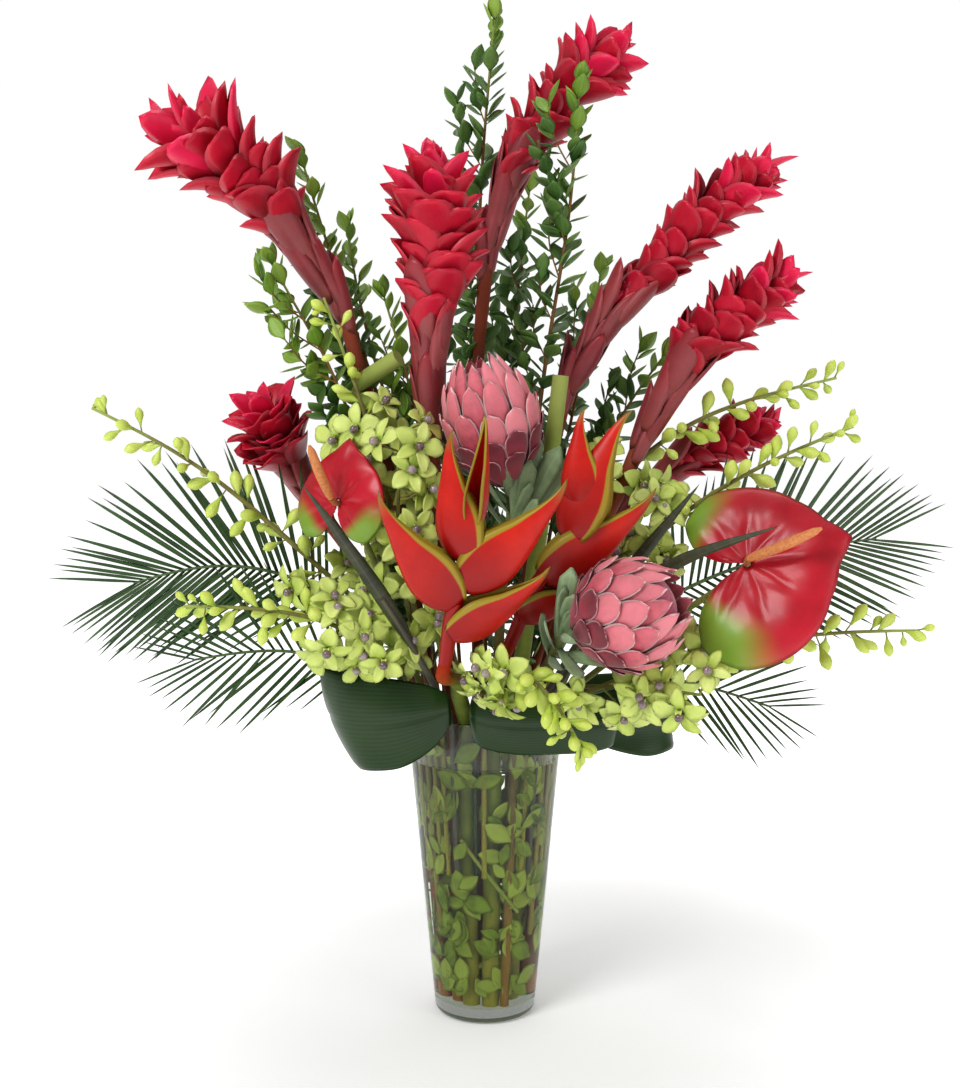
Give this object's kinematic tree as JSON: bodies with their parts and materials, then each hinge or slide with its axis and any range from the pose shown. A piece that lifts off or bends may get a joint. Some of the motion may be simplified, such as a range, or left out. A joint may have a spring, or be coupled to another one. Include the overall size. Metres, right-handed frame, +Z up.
{
  "type": "tropical flower arrangement",
  "caption": "Red ginger blooms with heliconia, protea, anthurium, orchid sprays and palm fronds, standing in water in a tall tapered clear glass vase.",
  "frame": {"origin": "centre of the vase's flat foot, on the surface that it stands on", "axes": "+Z up, -Y the front that faces the viewer, +X to the viewer's right"},
  "size_m": [0.8858, 0.4054, 1.033],
  "materials": {
    "vase": "clear polished glass",
    "water": "clear water, slightly green",
    "ginger_bract": "waxy crimson bracts, satin",
    "ginger_sheath": "dull pink-brown sheath",
    "heliconia_bract": "waxy orange-red bracts with olive rims",
    "heliconia_stem": "olive-green stem",
    "protea_bract": "silky pink bracts with pale fringed edges",
    "protea_leaf": "matt grey-green leaf",
    "anthurium_spathe": "high-gloss red with green lobes",
    "anthurium_stalk": "tan spadix on a green stalk",
    "orchid_tepal": "soft lime-green petals and buds",
    "palm_leaf": "dark green satin leaflets",
    "broad_leaf": "deep green leaf with a pale sheen",
    "spear_leaf": "dark olive leaf",
    "cut_stem": "fibrous yellow-green stem",
    "myrtle_leaf": "small satin green leaves"
  },
  "bodies": {
    "root": {"vase": "vase", "water": "water", "ginger_1_head": "ginger_bract", "ginger_2_head": "ginger_bract", "ginger_3_head": "ginger_bract", "ginger_4_head": "ginger_bract", "ginger_5_head": "ginger_bract", "ginger_6_head": "ginger_bract", "ginger_7_head": "ginger_bract", "ginger_1_stem": "ginger_sheath", "ginger_2_stem": "ginger_sheath", "ginger_3_stem": "ginger_sheath", "ginger_4_stem": "ginger_sheath", "ginger_5_stem": "ginger_sheath", "ginger_6_stem": "ginger_sheath", "ginger_7_stem": "ginger_sheath", "heliconia_1_bracts": "heliconia_bract", "heliconia_2_bracts": "heliconia_bract", "heliconia_1_stem": "heliconia_stem", "heliconia_2_stem": "heliconia_stem", "protea_1_head": "protea_bract", "protea_2_head": "protea_bract", "protea_1_stem": "protea_leaf", "protea_2_stem": "protea_leaf", "anthurium_1_spathe": "anthurium_spathe", "anthurium_2_spathe": "anthurium_spathe", "anthurium_1_stalk": "anthurium_stalk", "anthurium_2_stalk": "anthurium_stalk", "orchid_spray_1": "orchid_tepal", "orchid_spray_2": "orchid_tepal", "orchid_spray_3": "orchid_tepal", "orchid_spray_4": "orchid_tepal", "orchid_spray_5": "orchid_tepal", "orchid_spray_6": "orchid_tepal", "orchid_spray_7": "orchid_tepal", "orchid_spray_8": "orchid_tepal", "orchid_spray_9": "orchid_tepal", "palm_frond_1": "palm_leaf", "palm_frond_2": "palm_leaf", "palm_frond_3": "palm_leaf", "palm_frond_4": "palm_leaf", "broad_leaf_1": "broad_leaf", "broad_leaf_2": "broad_leaf", "broad_leaf_3": "broad_leaf", "spear_leaf_1": "spear_leaf", "spear_leaf_2": "spear_leaf", "spear_leaf_3": "spear_leaf", "cut_stem_1": "cut_stem", "cut_stem_2": "cut_stem", "myrtle_sprig_1": "myrtle_leaf", "myrtle_sprig_2": "myrtle_leaf", "myrtle_sprig_3": "myrtle_leaf", "myrtle_sprig_4": "myrtle_leaf", "myrtle_sprig_5": "myrtle_leaf", "myrtle_sprig_6": "myrtle_leaf", "myrtle_sprig_7": "myrtle_leaf", "myrtle_sprig_8": "myrtle_leaf", "myrtle_sprig_9": "myrtle_leaf", "myrtle_sprig_10": "myrtle_leaf"}
  },
  "joints": []
}
